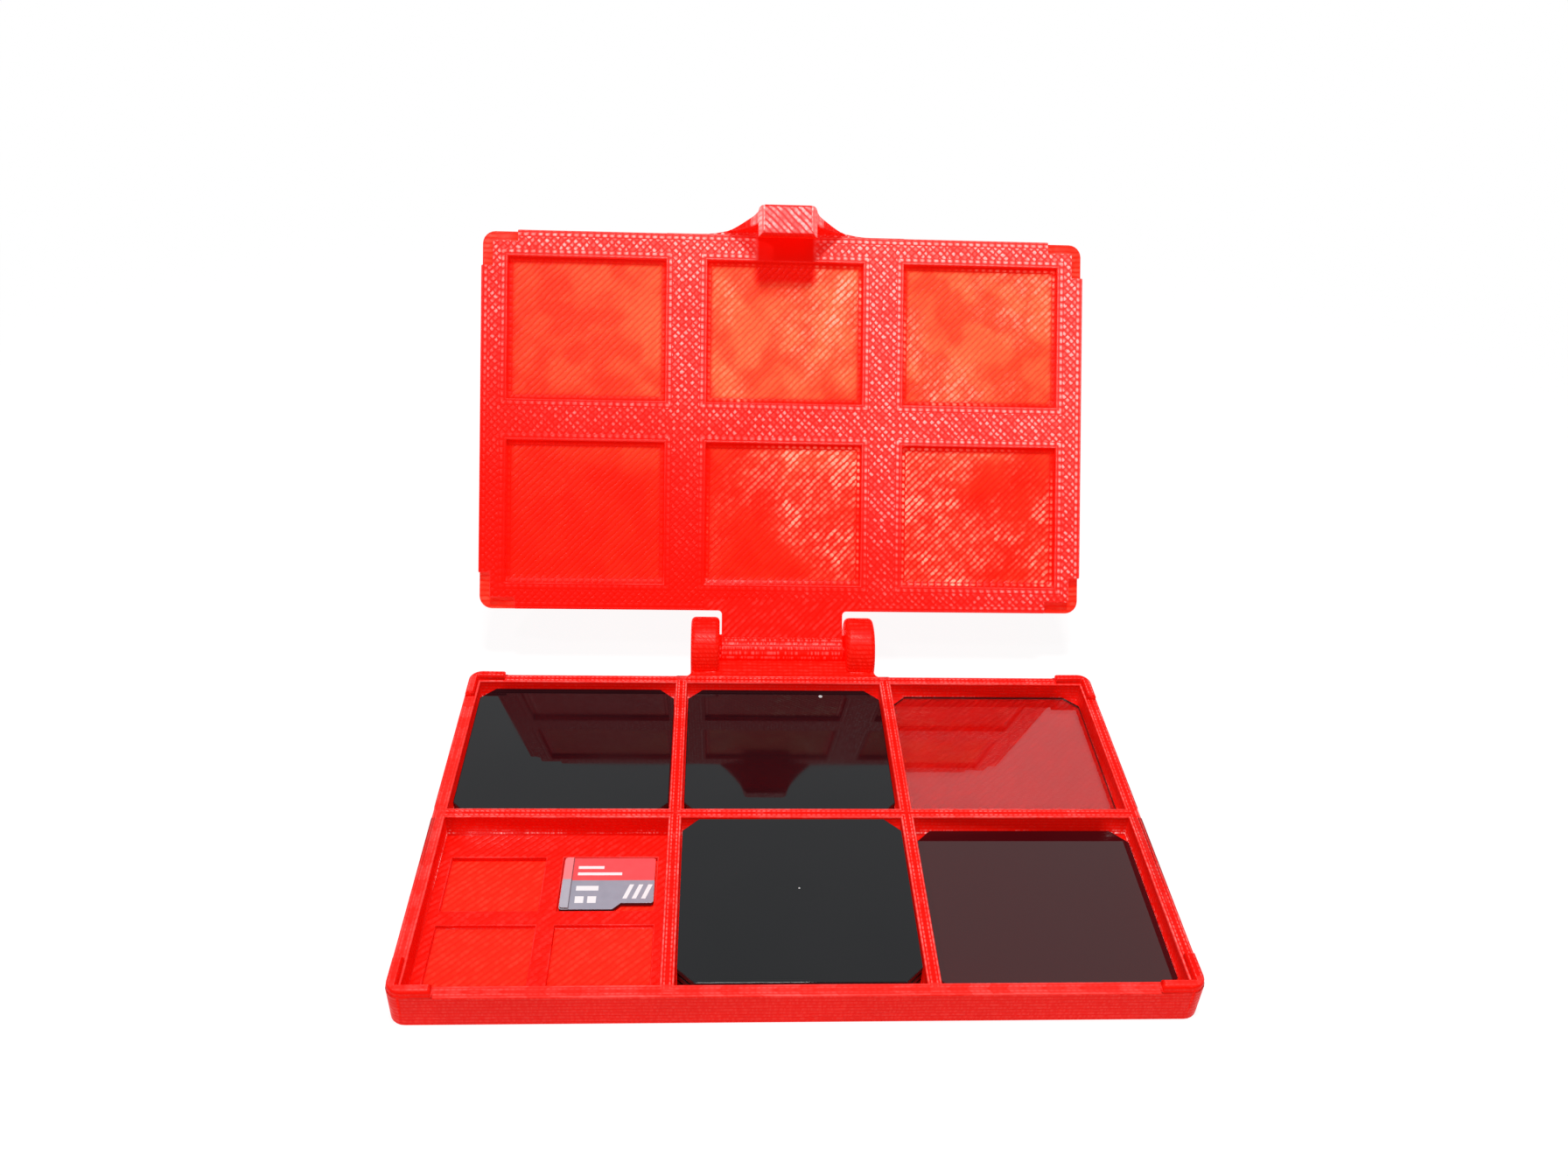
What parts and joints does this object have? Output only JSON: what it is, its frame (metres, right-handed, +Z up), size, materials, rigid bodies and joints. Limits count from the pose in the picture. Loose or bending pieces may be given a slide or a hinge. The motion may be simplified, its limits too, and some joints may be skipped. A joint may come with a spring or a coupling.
{
  "type": "memory card case",
  "caption": "Hinged printed case with six cells for square filter panes and micro memory cards, lid open on a pin hinge, with a snap hook.",
  "frame": {"origin": "centre of the tray's underside", "axes": "+X to the right along the hinge, +Y towards the hinge and the open lid, +Z up out of the tray"},
  "size_m": [0.1204, 0.1334, 0.0826],
  "materials": {
    "red_plastic": "printed, slightly see-through where thin",
    "pin_plastic": "plain",
    "dark_glass": "polished",
    "tinted_glass": "polished",
    "card_shell": "satin"
  },
  "bodies": {
    "tray": {"base_tray": "red_plastic", "hinge_pin": "pin_plastic"},
    "lid": {"lid": "red_plastic"},
    "back_left_lower": {"filter_back_left_lower": "dark_glass"},
    "back_left_upper": {"filter_back_left_upper": "dark_glass"},
    "back_middle_lower": {"filter_back_middle_lower": "dark_glass"},
    "back_middle_upper": {"filter_back_middle_upper": "dark_glass"},
    "back_right": {"filter_back_right": "tinted_glass"},
    "front_middle_lower": {"filter_front_middle_lower": "dark_glass"},
    "front_middle_middle": {"filter_front_middle_middle": "dark_glass"},
    "front_middle_upper": {"filter_front_middle_upper": "dark_glass"},
    "front_right": {"filter_front_right": "dark_glass"},
    "card": {"memory_card": "card_shell"}
  },
  "joints": [
    {"name": "lid_hinge", "type": "hinge", "parent": "tray", "child": "lid", "pos_m": [0, 0.0454, 0.0064], "axis": [-1, 0, 0], "range_deg": [-124, 0]},
    {"name": "back_left_lower_lift", "type": "slide", "parent": "tray", "child": "back_left_lower", "axis": [0, 0, 1], "range_m": [0, 0.04]},
    {"name": "back_left_upper_lift", "type": "slide", "parent": "back_left_lower", "child": "back_left_upper", "axis": [0, 0, 1], "range_m": [0, 0.04]},
    {"name": "back_middle_lower_lift", "type": "slide", "parent": "tray", "child": "back_middle_lower", "axis": [0, 0, 1], "range_m": [0, 0.04]},
    {"name": "back_middle_upper_lift", "type": "slide", "parent": "back_middle_lower", "child": "back_middle_upper", "axis": [0, 0, 1], "range_m": [0, 0.04]},
    {"name": "back_right_lift", "type": "slide", "parent": "tray", "child": "back_right", "axis": [0, 0, 1], "range_m": [0, 0.04]},
    {"name": "front_middle_lower_lift", "type": "slide", "parent": "tray", "child": "front_middle_lower", "axis": [0, 0, 1], "range_m": [0, 0.04]},
    {"name": "front_middle_middle_lift", "type": "slide", "parent": "front_middle_lower", "child": "front_middle_middle", "axis": [0, 0, 1], "range_m": [0, 0.04]},
    {"name": "front_middle_upper_lift", "type": "slide", "parent": "front_middle_middle", "child": "front_middle_upper", "axis": [0, 0, 1], "range_m": [0, 0.04]},
    {"name": "front_right_lift", "type": "slide", "parent": "tray", "child": "front_right", "axis": [0, 0, 1], "range_m": [0, 0.04]},
    {"name": "card_lift", "type": "slide", "parent": "tray", "child": "card", "axis": [0, 0, 1], "range_m": [0, 0.04]}
  ]
}
